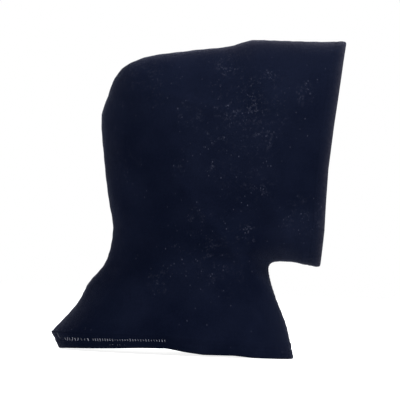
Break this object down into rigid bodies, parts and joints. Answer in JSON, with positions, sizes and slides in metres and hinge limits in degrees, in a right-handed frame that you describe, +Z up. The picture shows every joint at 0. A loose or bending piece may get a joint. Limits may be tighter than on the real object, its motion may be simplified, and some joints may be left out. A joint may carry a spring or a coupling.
{
  "type": "balaclava",
  "caption": "Knitted hood-type balaclava: a deep hood open at the face from brow to chin, with a fitted neck and a flared bib. Sewn from mirrored side panels.",
  "frame": {"origin": "on the surface that the neck hem stands on, under the middle of the hood's bounding box", "axes": "+X the way the wearer's face looks, +Y the wearer's left, +Z up; the XZ plane is the seam plane"},
  "size_m": [0.3, 0.184, 0.3392],
  "materials": {
    "navy_knit": "fine-gauge brushed jersey knit",
    "navy_thread": "spun polyester sewing thread",
    "pale_thread": "spun polyester sewing thread"
  },
  "bodies": {
    "root": {"left_side_panel": "navy_knit", "right_side_panel": "navy_knit", "crown_seam_needle_thread": "navy_thread", "crown_seam_lower_looper_thread": "navy_thread", "crown_seam_upper_looper_thread": "navy_thread", "throat_seam_needle_thread": "navy_thread", "throat_seam_lower_looper_thread": "navy_thread", "throat_seam_upper_looper_thread": "navy_thread", "face_hem_needle_thread": "navy_thread", "face_hem_bobbin_thread": "navy_thread", "neck_hem_needle_thread": "pale_thread", "neck_hem_bobbin_thread": "pale_thread"}
  },
  "joints": []
}
